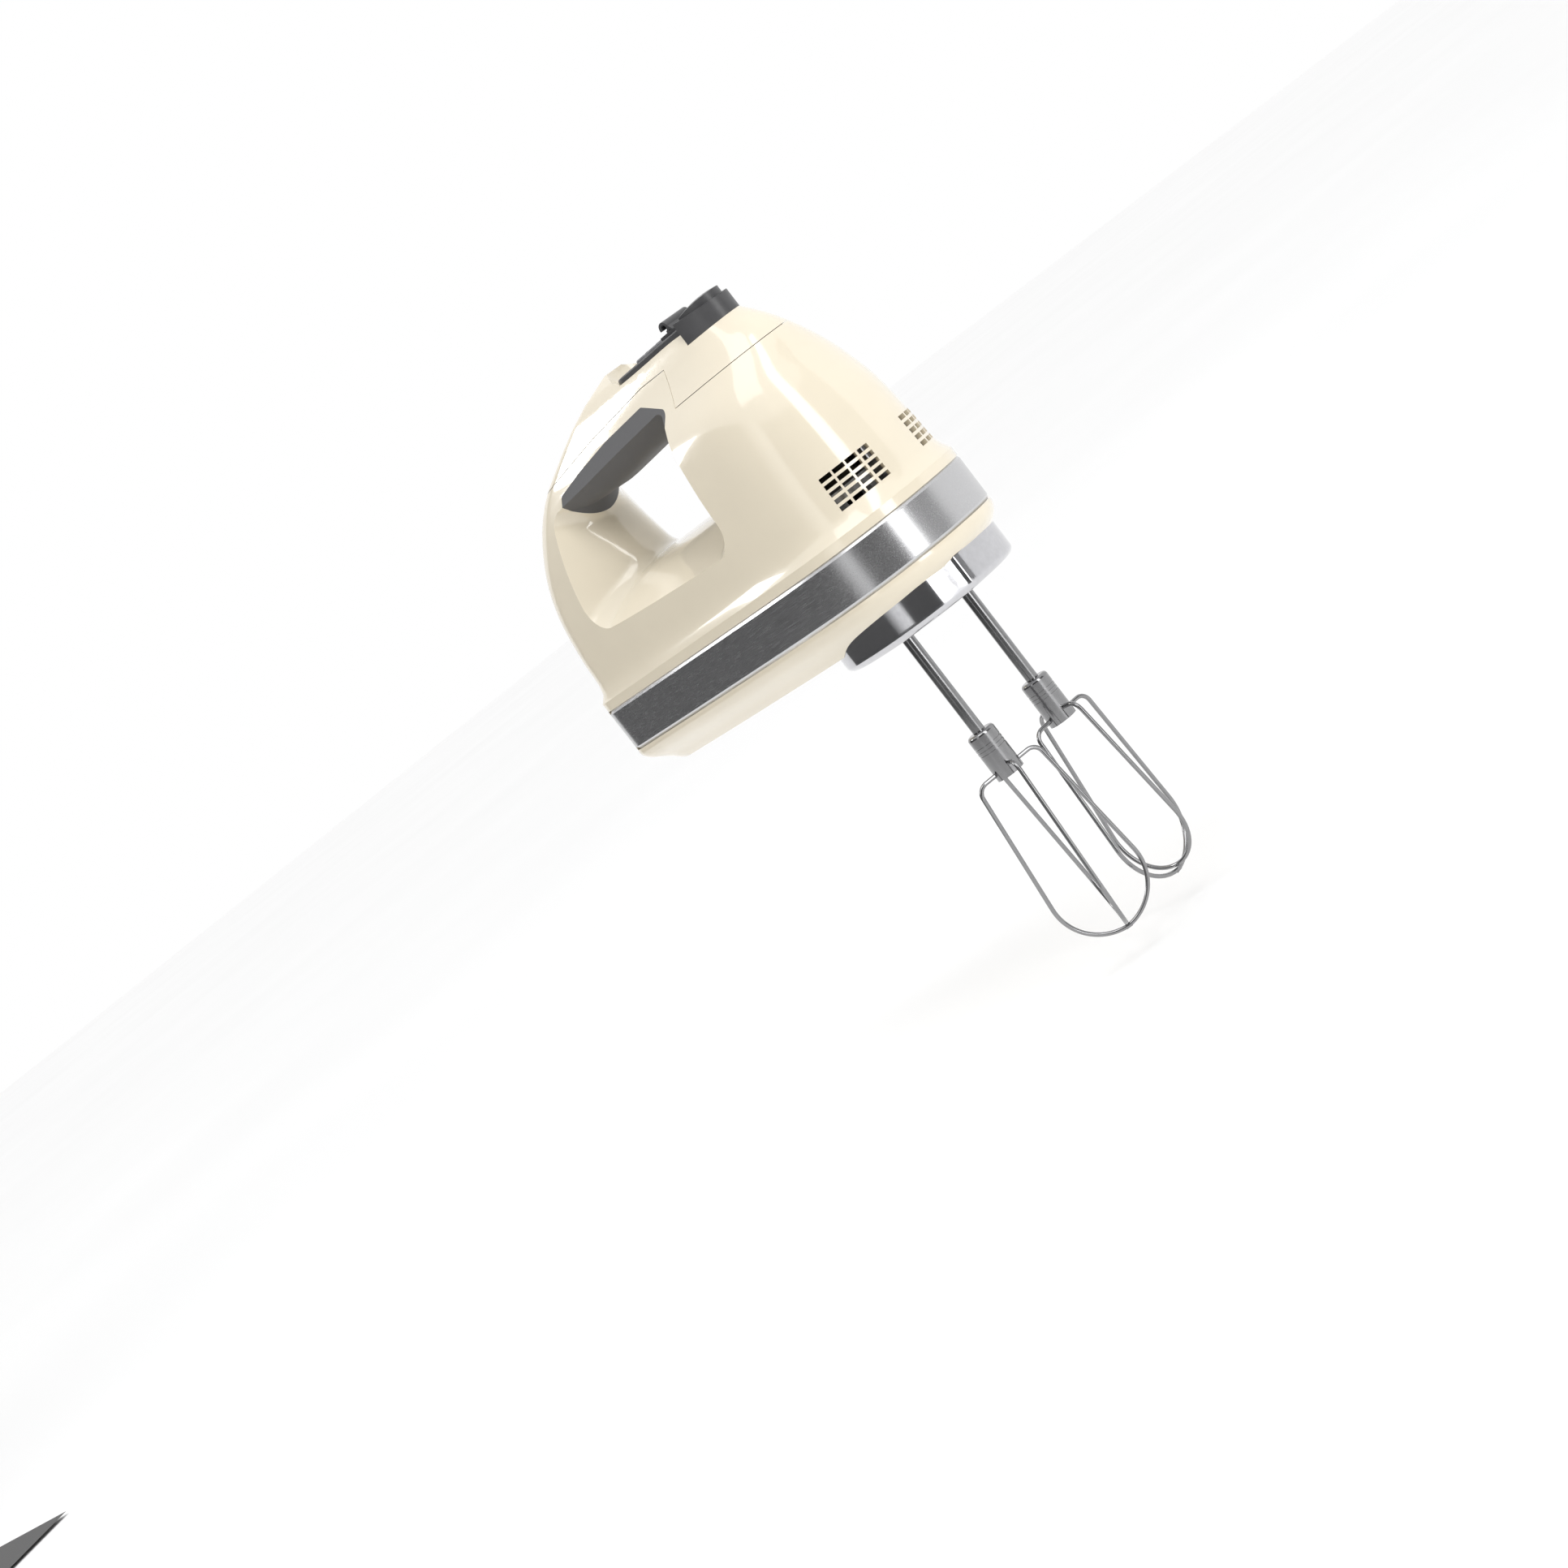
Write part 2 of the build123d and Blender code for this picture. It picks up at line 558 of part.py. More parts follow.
def ejector_rod():
    """The push rod, its crossbar and the two pins that push the beaters out."""
    rod = rod_z(EJECTOR_X, 0, 44, 111.2, 3.0) + rod_z(EJECTOR_X, 0, 100, 113.2, 2.2)
    bar = block(EJECTOR_X - 4, EJECTOR_X + 4, -24, 24, 43, 47)
    body = rod + bar
    for side in (-1, 1):
        body += rod_z(SPINDLE_X, side * SPINDLE_Y, SHAFT_TOP_Z + 0.3, 44, 2.1)
    return body


def ejector_spring():
    """The coil spring that lifts the ejector button."""
    path = Pos(EJECTOR_X, 0, ROD_GUIDE_Z + 0.9) * Helix(2.9, 21.4, 5.0)
    start = path @ 0
    profile = Plane(origin=start, z_dir=path % 0) * Circle(0.55)
    return sweep(profile, path=path)


# ---- motor ----

def stator_core():
    """The laminated core round the armature."""
    core = block(CORE_START_X, CORE_START_X + CORE_LENGTH, -27, 27, MOTOR_Z - STATOR_HALF_HEIGHT, MOTOR_Z + STATOR_HALF_HEIGHT)
    core = fillet(core.edges().filter_by(Axis.X), 9)
    core -= rod_x(CORE_START_X - 1, CORE_START_X + CORE_LENGTH + 1, ARMATURE_R + 0.6)
    return core - field_coil(1, 0.0) - field_coil(-1, 0.0)


def field_coil(side, grow=0.0):
    """One field winding, a rounded ring wound round its pole."""
    middle = CORE_START_X + CORE_LENGTH / 2
    ring = RectangleRounded(CORE_LENGTH + 16, 38, 6) - RectangleRounded(CORE_LENGTH - 2, 22, 3)
    coil = extrude(ring, amount=5.4)
    return Pos(middle, side * 16.3 + (5.4 if side > 0 else 0), MOTOR_Z) * Rot(90, 0, 0) * coil


def rotor_core():
    """The slotted armature stack."""
    core = rod_x(CORE_START_X, CORE_START_X + CORE_LENGTH, ARMATURE_R)
    slots = []
    for k in range(12):
        slot = Pos(CORE_START_X + CORE_LENGTH / 2, 0, MOTOR_Z) * Rot(30 * k, 0, 0) * Pos(0, 0, 11.6)
        slots.append(slot * Box(CORE_LENGTH + 2, 2.2, 7.0))
    return core - slots - rod_x(CORE_START_X - 1, CORE_START_X + CORE_LENGTH + 1, MOTOR_SHAFT_R)


def rotor_windings():
    """The copper end turns at both ends of the armature."""
    near = rod_x(CORE_START_X - 6.5, CORE_START_X, 12.4) - rod_x(CORE_START_X - 8, CORE_START_X + 1, 4.2)
    end = CORE_START_X + CORE_LENGTH
    far = rod_x(end, end + 6.5, 12.4) - rod_x(end - 1, end + 8, 4.2)
    near = fillet(near.edges().filter_by_position(Axis.X, CORE_START_X - 6.6, CORE_START_X - 6.4), 2.0)
    far = fillet(far.edges().filter_by_position(Axis.X, end + 6.4, end + 6.6), 2.0)
    return Compound(children=[near.solids()[0], far.solids()[0]])


def commutator():
    """The copper commutator with its bars."""
    body = rod_x(50, 62, 9.0) + rod_x(60.4, 62, 11.0)
    grooves = [
        Pos(55, 0, MOTOR_Z) * Rot(15 * k, 0, 0) * Pos(0, 0, 9.0) * Box(11, 0.5, 1.4) for k in range(24)
    ]
    return body - grooves - rod_x(48, 64, MOTOR_SHAFT_R)


def cooling_fan():
    """The fan between the armature and the gears."""
    hub = rod_x(116, 127, 6.0) + rod_x(116, 117.6, 21.0)
    for k in range(11):
        blade = Pos(121.5, 0, MOTOR_Z) * Rot(360 / 11 * k, 0, 0) * Pos(0, 0, 13.0) * Rot(0, 0, 24)
        hub += blade * Box(10.0, 1.4, 15.6)
    hub &= rod_x(116, 127, 21.0)
    return hub - rod_x(110, 130, MOTOR_SHAFT_R)


def bearing(x, length=6.0):
    """A plain ball-bearing ring for the motor shaft."""
    ring = rod_x(x, x + length, BEARING_R) - rod_x(x - 1, x + length + 1, MOTOR_SHAFT_R + 0.04)
    groove = rod_x(x - 1, x + 0.6, 6.4) - rod_x(x - 2, x + 2, 4.4)
    groove += rod_x(x + length - 0.6, x + length + 1, 6.4) - rod_x(x + length - 2, x + length + 2, 4.4)
    return ring - groove


def rear_bracket():
    """The bracket behind the motor that carries the rear bearing."""
    plate = block(40, 46, -22, 22, MOTOR_Z - 12, MOTOR_Z + 12)
    for side in (-1, 1):
        low = MOTOR_Z + side * 19.5
        plate += block(40, CORE_START_X, -5, 5, *sorted((low, low + side * 4)))
        plate += block(40, 46, -5, 5, *sorted((MOTOR_Z + side * 10, low + side * 4)))
    return plate - rod_x(39, 47, BEARING_R)


def brush_holders():
    """Two brass boxes that guide the brushes."""
    holders = []
    for side in (-1, 1):
        y0, y1 = sorted((side * 10.4, side * 24.0))
        outer = block(51.4, 59.0, y0, y1, MOTOR_Z - 4.2, MOTOR_Z + 4.2)
        bore = block(52.2, 58.2, *sorted((side * 9, side * 23.2)), MOTOR_Z - 3.4, MOTOR_Z + 3.4)
        foot = block(46, 51.4, *sorted((side * 15, side * 20.0)), MOTOR_Z - 3, MOTOR_Z + 3)
        holders.append((outer - bore + foot).solids()[0])
    return Compound(children=holders)


def brushes():
    """Two carbon brushes that run on the commutator."""
    pair = []
    for side in (-1, 1):
        y0, y1 = sorted((side * 5, side * 20.0))
        carbon = block(52.4, 58.0, y0, y1, MOTOR_Z - 3.2, MOTOR_Z + 3.2) - rod_x(50, 61, 9.05)
        pair.append(carbon.solids()[0])
    return Compound(children=pair)


# ---- gears ----

def lobed_outline(teeth, pitch_r, addendum, dedendum):
    """A toothed outline with straight flanks, one tooth centred on local +X."""
    root, tip = pitch_r - dedendum, pitch_r + addendum
    step = 2 * pi / teeth
    at_pitch = TOOTH_SHARE * step / 2
    at_root, at_tip = at_pitch * 1.55, at_pitch * 0.55
    points = []
    for k in range(teeth):
        middle = k * step
        for radius, offset in ((root, -at_root), (tip, -at_tip), (tip, at_tip), (root, at_root)):
            points.append((radius * cos(middle + offset), radius * sin(middle + offset)))
    return make_face(Polyline(*points, close=True))


def worm():
    """The two-start worm on the motor shaft."""
    core = Circle(WORM_PITCH_R - 1.15 * MODULE)
    lobes = lobed_outline(WORM_STARTS, WORM_PITCH_R, 1.0 * MODULE, 1.15 * MODULE)
    turn = 360 * WORM_LENGTH / WORM_LEAD
    outline = Rot(0, 0, 90 - turn / 2) * (lobes + core)
    thread = Solid.extrude_linear_with_rotation(outline.face(), (0, 0, 0), (0, 0, WORM_LENGTH), turn)
    thread = Pos(SPINDLE_X - WORM_LENGTH / 2, 0, MOTOR_Z) * Rot(0, 90, 0) * thread
    return thread - rod_x(140, 190, MOTOR_SHAFT_R)


def worm_wheel(side):
    """One moulded worm wheel, with slanted teeth and a webbed middle."""
    slant = degrees(WHEEL_WIDTH * WORM_LEAD / (2 * pi * WORM_PITCH_R) / WHEEL_PITCH_R)
    outline = Rot(0, 0, -slant / 2) * lobed_outline(WHEEL_TEETH, WHEEL_PITCH_R, 1.0 * MODULE, 1.15 * MODULE)
    rim = Solid.extrude_linear_with_rotation(outline.face(), (0, 0, 0), (0, 0, WHEEL_WIDTH), slant)
    rim = Pos(SPINDLE_X, side * SPINDLE_Y, MOTOR_Z - WHEEL_WIDTH / 2) * rim
    low, high = MOTOR_Z - WHEEL_WIDTH / 2, MOTOR_Z + WHEEL_WIDTH / 2
    for z0, z1 in ((low - 1, low + 2.6), (high - 2.6, high + 1)):
        rim -= rod_z(SPINDLE_X, side * SPINDLE_Y, z0, z1, 12.0) - rod_z(SPINDLE_X, side * SPINDLE_Y, z0, z1, 7.6)
    return rim - rod_z(SPINDLE_X, side * SPINDLE_Y, -10, 40, SPINDLE_R)


def spindle(side):
    """A hollow spindle that holds and drives one beater."""
    x, y = SPINDLE_X, side * SPINDLE_Y
    body = rod_z(x, y, SPINDLE_BOTTOM_Z, SPINDLE_TOP_Z, SPINDLE_R)
    body += rod_z(x, y, BUSH_LOW_TOP + 0.3, BUSH_LOW_TOP + 2.3, 7.0)
    body += rod_z(x, y, BUSH_HIGH_BOTTOM - 2.1, BUSH_HIGH_BOTTOM - 0.3, 6.6)
    return body - rod_z(x, y, -60, 60, SPINDLE_BORE_R)


def spindle_bush(side, z0, z1):
    """One sintered bush round a spindle."""
    x, y = SPINDLE_X, side * SPINDLE_Y
    bush = rod_z(x, y, z0, z1, BUSH_R)
    return bush - rod_z(x, y, z0 - 1, z1 + 1, SPINDLE_R + 0.05)


def spindle_bushes():
    """The four bushes, two for each spindle."""
    spans = ((COLLAR_TOP, BUSH_LOW_TOP), (BUSH_HIGH_BOTTOM, BUSH_HIGH_BOTTOM + 5.0))
    return Compound(children=[spindle_bush(s, *span).solids()[0] for s in (-1, 1) for span in spans])


def gear_frame():
    """The cast frame that carries the front of the motor shaft and the tops of the spindles."""
    plate_z = BUSH_HIGH_BOTTOM
    frame = block(140, 188, -29, 29, plate_z, plate_z + 4.5)
    frame = fillet(frame.edges().filter_by(Axis.Z), 7)
    frame += block(140, 146, -13, 13, -2, plate_z + 1)
    frame += block(182, 188, -11, 11, 2, plate_z + 1)
    for x, y in ((144.5, 25.5), (181.5, 24.0)):
        for side in (-1, 1):
            frame += rod_z(x, side * y, COLLAR_TOP + WALL, plate_z + 1, 2.8)
    frame -= rod_x(139, 147, BEARING_R)
    frame -= rod_x(181, 189, BEARING_R)
    for side in (-1, 1):
        frame -= rod_z(SPINDLE_X, side * SPINDLE_Y, 10, 50, BUSH_R)
        frame -= rod_z(SPINDLE_X, side * SPINDLE_Y, -10, plate_z - 0.5, WHEEL_PITCH_R + 2.0)
    return frame


def motor_shaft():
    """The armature shaft from the rear bearing to the front bearing."""
    return rod_x(38, 189, MOTOR_SHAFT_R)


# ---- electronics ----

def control_board():
    """The circuit board under the control panel."""
    board = block(104, 149, -8.5, 8.5, 99.2, 100.8)
    for x in (108, 113, 118):
        board += block(x, x + 3, -6, -1, 100.8, 102.6)
    return board + block(124, 130, 1, 7, 96.6, 99.2)


def power_switch():
    """The switch that the thumb slide works."""
    body = block(140.5, 153.5, -5.5, 5.5, 100.8, 105.6)
    return body + block(SLIDE_X - 1.5, SLIDE_X - 0.3, -2, 2, 105.6, 106.6)


# ---- beaters ----

def beater_shaft(side):
    """One beater shaft, with a detent groove near its top."""
    x, y = SPINDLE_X, side * SPINDLE_Y
    shaft = rod_z(x, y, HUB_TOP_Z - HUB_LENGTH + 4, SHAFT_TOP_Z, BEATER_SHAFT_R)
    shaft = chamfer(shaft.edges().filter_by_position(Axis.Z, SHAFT_TOP_Z - 0.1, SHAFT_TOP_Z + 0.1), 0.6)
    groove = rod_z(x, y, 21.0, 22.4, 4) - rod_z(x, y, 20.0, 23.0, BEATER_SHAFT_R - 0.4)
    return shaft - groove


def loop_route(side, step, quarter):
    """Corner points of one wire loop: out of the hub, down one side, round the bottom and back."""
    top_turn, bottom_turn = BEATER_TURNS[side]
    top, bottom = radians(top_turn + quarter), radians(bottom_turn + quarter)
    x, y = SPINDLE_X, side * SPINDLE_Y
    exit_z = WIRE_EXIT_Z + step * 0.9
    low = LOOP_BOTTOM_Z + step
    rounding = LOOP_R - step
    out = [(HUB_R - 2.4, top, exit_z), (LOOP_SHOULDER_R, top, exit_z), (LOOP_R - step * 0.5, bottom, low)]
    one_side = [(x + r * cos(a), y + r * sin(a), z) for r, a, z in out]
    other_side = [(x - r * cos(a), y - r * sin(a), z) for r, a, z in reversed(out)]
    return one_side + other_side, [4.4, rounding - 0.8, rounding - 0.8, 4.4]


def wire_loop(side, step, quarter):
    """One bent wire loop of a beater."""
    points, radii = loop_route(side, step, quarter)
    path = FilletPolyline(*points, radius=radii)
    start = Plane(origin=path @ 0, z_dir=path % 0)
    return sweep(start * Circle(WIRE_R), path=path)


def beater_hub(side, loops):
    """The ringed hub that joins the wires to the shaft."""
    x, y = SPINDLE_X, side * SPINDLE_Y
    hub = rod_z(x, y, HUB_TOP_Z - HUB_LENGTH, HUB_TOP_Z, HUB_R)
    hub = fillet(hub.edges().filter_by_position(Axis.Z, HUB_TOP_Z - 0.1, HUB_TOP_Z + 0.1), 1.5)
    for drop in (5.2, 6.8, 8.4):
        hub -= rod_z(x, y, HUB_TOP_Z - drop - 0.25, HUB_TOP_Z - drop + 0.25, 9) - rod_z(
            x, y, HUB_TOP_Z - drop - 1, HUB_TOP_Z - drop + 1, HUB_R - 0.35
        )
    hub -= rod_z(x, y, HUB_TOP_Z - HUB_LENGTH + 4, 10, BEATER_SHAFT_R)
    for loop in loops:
        hub -= loop
    return hub


def export(shape, name):
    """Write one node, as a solid or as a group of solids."""
    solids = shape.solids()
    body = solids[0] if len(solids) == 1 else Compound(children=list(solids))
    export_step(body, f"parts/{name}.step")
    print(name, len(solids), round(sum(s.volume for s in solids), 1))


upper, cover, grip = build_housing()
export(upper, "upper_housing")
export(cover, "handle_cover")
export(grip, "handle_grip")
export(lower_housing(), "lower_housing")
export(trim_band(), "trim_band")
export(beater_collar(), "beater_collar")
export(cord_gland(), "cord_gland")
export(housing_screws(), "housing_screws")

export(control_panel(), "control_panel")
export(lens_prism(0.0, PANEL_TOP - 1.2, PANEL_TOP + 0.2), "display_lens")
export(speed_key(KEY_PLACES[0], False), "speed_down_key")
export(speed_key(KEY_PLACES[1], True), "speed_up_key")
export(power_slide(), "power_slide")
export(front_cap(), "front_cap")
export(ejector_button(), "ejector_button")
export(ejector_rod(), "ejector_rod")
export(ejector_spring(), "ejector_spring")
export(control_board(), "control_board")
export(power_switch(), "power_switch")

export(stator_core(), "stator_core")
export(Compound(children=[field_coil(s).solids()[0] for s in (-1, 1)]), "field_coils")
export(rear_bracket(), "rear_bracket")
export(brush_holders(), "brush_holders")
export(brushes(), "carbon_brushes")
export(bearing(40), "rear_bearing")
export(bearing(140), "middle_bearing")
export(bearing(182), "front_bearing")
export(motor_shaft(), "motor_shaft")
export(rotor_core(), "rotor_core")
export(rotor_windings(), "rotor_windings")
export(commutator(), "commutator")
export(cooling_fan(), "cooling_fan")
export(worm(), "drive_worm")
export(gear_frame(), "gear_frame")
export(spindle_bushes(), "spindle_bushes")

for side, name in ((1, "left"), (-1, "right")):
    export(worm_wheel(side), f"{name}_worm_wheel")
    export(spindle(side), f"{name}_spindle")
    loops = [wire_loop(side, 0.0, 0.0), wire_loop(side, LOOP_STEP, 90.0)]
    export(beater_shaft(side), f"{name}_beater_shaft")
    export(beater_hub(side, loops), f"{name}_beater_hub")
    export(loops[0], f"{name}_outer_loop")
    export(loops[1], f"{name}_inner_loop")
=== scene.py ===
import bpy
import bmesh
import json
from math import sin, cos, radians
from mathutils import Vector, Matrix


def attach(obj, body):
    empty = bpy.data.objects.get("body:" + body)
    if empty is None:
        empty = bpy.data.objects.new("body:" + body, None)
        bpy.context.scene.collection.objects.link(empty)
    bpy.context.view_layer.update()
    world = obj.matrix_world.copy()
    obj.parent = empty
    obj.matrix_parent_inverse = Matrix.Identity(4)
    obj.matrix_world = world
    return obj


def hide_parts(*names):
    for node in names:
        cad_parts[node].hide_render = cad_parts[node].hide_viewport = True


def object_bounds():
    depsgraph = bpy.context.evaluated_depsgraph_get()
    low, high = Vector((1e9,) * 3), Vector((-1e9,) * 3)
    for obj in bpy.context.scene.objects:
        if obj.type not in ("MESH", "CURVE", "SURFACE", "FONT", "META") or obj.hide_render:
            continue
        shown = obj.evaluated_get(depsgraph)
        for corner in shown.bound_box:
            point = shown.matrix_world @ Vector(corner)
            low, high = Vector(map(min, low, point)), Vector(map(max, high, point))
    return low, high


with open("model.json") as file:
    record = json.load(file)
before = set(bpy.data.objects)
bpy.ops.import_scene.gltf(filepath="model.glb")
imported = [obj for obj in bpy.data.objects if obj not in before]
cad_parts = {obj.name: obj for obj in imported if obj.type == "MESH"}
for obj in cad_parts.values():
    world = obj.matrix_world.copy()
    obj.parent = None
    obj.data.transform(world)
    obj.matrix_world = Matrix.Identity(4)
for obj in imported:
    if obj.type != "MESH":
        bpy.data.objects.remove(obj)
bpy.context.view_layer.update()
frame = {"nodes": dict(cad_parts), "record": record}


# ---------------------------------------------------------------- node helpers

def fill_ramp(ramp, stops):
    """Give a colour ramp its (place, colour) stops."""
    elements = ramp.color_ramp.elements
    while len(elements) < len(stops):
        elements.new(0.5)
    for element, (place, color) in zip(elements, stops):
        element.position = place
        element.color = (*color, 1)


class Shader:
    """A node material built step by step round one Principled shader."""

    def __init__(self, name, color, roughness=0.4, metallic=0.0):
        self.material = bpy.data.materials.new(name)
        self.material.use_nodes = True
        self.nodes = self.material.node_tree.nodes
        self.links = self.material.node_tree.links
        self.nodes.clear()
        self.output = self.nodes.new("ShaderNodeOutputMaterial")
        self.main = self.nodes.new("ShaderNodeBsdfPrincipled")
        self.links.new(self.main.outputs["BSDF"], self.output.inputs["Surface"])
        self.main.inputs["Base Color"].default_value = (*color, 1)
        self.main.inputs["Roughness"].default_value = roughness
        self.main.inputs["Metallic"].default_value = metallic
        self.coordinates = self.nodes.new("ShaderNodeTexCoord").outputs["Object"]
        self.last_bump = None

    def set(self, **values):
        """Set sockets by name, with underscores for spaces."""
        for key, value in values.items():
            self.main.inputs[key.replace("_", " ")].default_value = value

    def stretched(self, scale):
        """Object coordinates scaled unevenly, for grain and brushing."""
        mapping = self.nodes.new("ShaderNodeMapping")
        mapping.inputs["Scale"].default_value = scale
        self.links.new(self.coordinates, mapping.inputs["Vector"])
        return mapping.outputs["Vector"]

    def noise(self, scale, detail=3.0, roughness=0.5, vector=None, distortion=0.0):
        """A noise value."""
        node = self.nodes.new("ShaderNodeTexNoise")
        node.inputs["Scale"].default_value = scale
        node.inputs["Detail"].default_value = detail
        node.inputs["Roughness"].default_value = roughness
        node.inputs["Distortion"].default_value = distortion
        self.links.new(vector or self.coordinates, node.inputs["Vector"])
        return node.outputs["Fac"]

    def cells(self, scale):
        """The distance to the nearest cell's middle in a cell pattern."""
        node = self.nodes.new("ShaderNodeTexVoronoi")
        node.feature = "F1"
        node.inputs["Scale"].default_value = scale
        self.links.new(self.coordinates, node.inputs["Vector"])
        return node.outputs["Distance"]

    def remap(self, value, low, high, to_low, to_high):
        """A value moved from one range to another."""
        node = self.nodes.new("ShaderNodeMapRange")
        node.inputs["From Min"].default_value = low
        node.inputs["From Max"].default_value = high
        node.inputs["To Min"].default_value = to_low
        node.inputs["To Max"].default_value = to_high
        self.links.new(value, node.inputs["Value"])
        return node.outputs["Result"]

    def ramp(self, value, stops):
        """A colour for each value."""
        node = self.nodes.new("ShaderNodeValToRGB")
        fill_ramp(node, stops)
        self.links.new(value, node.inputs["Fac"])
        return node.outputs["Color"]

    def roughen(self, value):
        """Drive roughness from a value."""
        self.links.new(value, self.main.inputs["Roughness"])

    def colour(self, value):
        """Drive base colour."""
        self.links.new(value, self.main.inputs["Base Color"])

    def bump(self, height, strength=0.2, distance=0.0002):
        """Add a bump, on top of any bump that is already there; the distance is in metres."""
        node = self.nodes.new("ShaderNodeBump")
        node.inputs["Strength"].default_value = strength
        node.inputs["Distance"].default_value = distance
        self.links.new(height, node.inputs["Height"])
        if self.last_bump:
            self.links.new(self.last_bump.outputs["Normal"], node.inputs["Normal"])
        self.links.new(node.outputs["Normal"], self.main.inputs["Normal"])
        self.last_bump = node


def shade(color, amount):
    """A colour made lighter or darker."""
    return tuple(min(1.0, part * amount) for part in color)


# ---------------------------------------------------------------- materials

CREAM = (0.84, 0.76, 0.605)


def gloss_cream():
    """Glossy moulded housing, with faint mould flow, fine scuffs and a slight orange peel."""
    shader = Shader("gloss_cream", CREAM, 0.16)
    cloud = shader.noise(22, 4, 0.55)
    shader.colour(shader.ramp(cloud, [(0.3, shade(CREAM, 0.972)), (0.55, CREAM), (0.8, shade(CREAM, 1.02))]))
    scuffs = shader.noise(160, 6, 0.7, shader.stretched((1.0, 1.0, 6.0)))
    shader.roughen(shader.remap(scuffs, 0.3, 0.75, 0.12, 0.22))
    shader.bump(shader.noise(900, 2, 0.4), 0.03, 0.00005)
    shader.set(Coat_Weight=1.0, Coat_Roughness=0.04, Specular_IOR_Level=0.5)
    return shader.material


def satin_plastic(name, color, roughness=0.42, grain=1800):
    """Satin moulded plastic with a fine spark-eroded grain."""
    shader = Shader(name, color, roughness)
    cloud = shader.noise(60, 4, 0.6)
    shader.colour(shader.ramp(cloud, [(0.3, shade(color, 0.86)), (0.7, shade(color, 1.12))]))
    shader.roughen(shader.remap(shader.noise(220, 4, 0.6), 0.3, 0.7, roughness - 0.06, roughness + 0.08))
    shader.bump(shader.noise(grain, 3, 0.6), 0.12, 0.00006)
    return shader.material


def soft_rubber():
    """Soft-touch overmoulding with a dull pebble and worn patches."""
    shader = Shader("soft_rubber", (0.1, 0.1, 0.104), 0.6)
    wear = shader.noise(30, 3, 0.5)
    shader.colour(shader.ramp(wear, [(0.3, (0.088, 0.088, 0.092)), (0.75, (0.118, 0.118, 0.122))]))
    shader.roughen(shader.remap(wear, 0.3, 0.7, 0.5, 0.66))
    shader.bump(shader.cells(1500), 0.12, 0.00008)
    return shader.material


def brushed_steel(name, color, along=(1.0, 40.0, 40.0), base=0.24):
    """Metal with fine lines, along X when the first scale is the small one and across X when it is large."""
    shader = Shader(name, color, base, 1.0)
    lines = shader.noise(60, 4, 0.65, shader.stretched(along))
    shader.colour(shader.ramp(lines, [(0.25, shade(color, 0.9)), (0.75, shade(color, 1.08))]))
    shader.roughen(shader.remap(lines, 0.25, 0.75, base - 0.04, base + 0.06))
    shader.bump(lines, 0.03, 0.00001)
    return shader.material


def polished_metal(name, color, roughness=0.06):
    """Bright metal with faint swirls and finger smears."""
    shader = Shader(name, color, roughness, 1.0)
    smear = shader.noise(45, 4, 0.6, None, 0.6)
    shader.roughen(shader.remap(smear, 0.3, 0.75, roughness, roughness + 0.07))
    tone = shader.noise(500, 3, 0.6)
    shader.colour(shader.ramp(tone, [(0.3, shade(color, 0.95)), (0.7, shade(color, 1.03))]))
    shader.bump(shader.noise(700, 3, 0.6), 0.02, 0.00003)
    return shader.material


def smoked_lens():
    """The glossy bluish display lens."""
    shader = Shader("smoked_lens", (0.12, 0.15, 0.22), 0.05)
    shader.roughen(shader.remap(shader.noise(300, 3, 0.5), 0.3, 0.7, 0.03, 0.09))
    cloud = shader.noise(90, 2, 0.5)
    shader.colour(shader.ramp(cloud, [(0.3, (0.10, 0.125, 0.19)), (0.7, (0.14, 0.17, 0.25))]))
    shader.set(Coat_Weight=1.0, Coat_Roughness=0.02)
    return shader.material


MATERIALS = {
    "cream": gloss_cream(),
    "soft_grip": soft_rubber(),
    "band_steel": brushed_steel("band_steel", (0.6, 0.6, 0.61)),
    "collar_chrome": polished_metal("collar_chrome", (0.62, 0.62, 0.64), 0.06),
    "dark_plastic": satin_plastic("dark_plastic", (0.075, 0.075, 0.078), 0.34),
    "lens": smoked_lens(),
    "key_plastic": satin_plastic("key_plastic", (0.17, 0.17, 0.18), 0.34),
    "black_rubber": satin_plastic("black_rubber", (0.02, 0.02, 0.02), 0.6),
    "screw_steel": brushed_steel("screw_steel", (0.5, 0.5, 0.5)),
    "spring_steel": polished_metal("spring_steel", (0.5, 0.5, 0.51), 0.2),
    "board_green": satin_plastic("board_green", (0.03, 0.16, 0.06), 0.3),
    "switch_black": satin_plastic("switch_black", (0.02, 0.02, 0.02), 0.4),
    "laminations": brushed_steel("laminations", (0.16, 0.16, 0.17), (260.0, 2.0, 2.0), 0.4),
    "copper": brushed_steel("copper", (0.62, 0.25, 0.10), (200.0, 6.0, 6.0), 0.3),
    "brass": polished_metal("brass", (0.7, 0.5, 0.2), 0.2),
    "carbon": satin_plastic("carbon", (0.015, 0.015, 0.015), 0.5),
    "frame_plastic": satin_plastic("frame_plastic", (0.1, 0.1, 0.11), 0.45),
    "bearing_steel": polished_metal("bearing_steel", (0.55, 0.55, 0.57), 0.15),
    "steel_shaft": polished_metal("steel_shaft", (0.5, 0.5, 0.51), 0.16),
    "fan_plastic": satin_plastic("fan_plastic", (0.7, 0.7, 0.66), 0.45),
    "gear_plastic": satin_plastic("gear_plastic", (0.75, 0.73, 0.64), 0.4),
    "cast_frame": satin_plastic("cast_frame", (0.5, 0.51, 0.52), 0.4),
    "bronze": satin_plastic("bronze", (0.45, 0.3, 0.12), 0.4),
    "beater_steel": polished_metal("beater_steel", (0.3, 0.3, 0.305), 0.13),
}

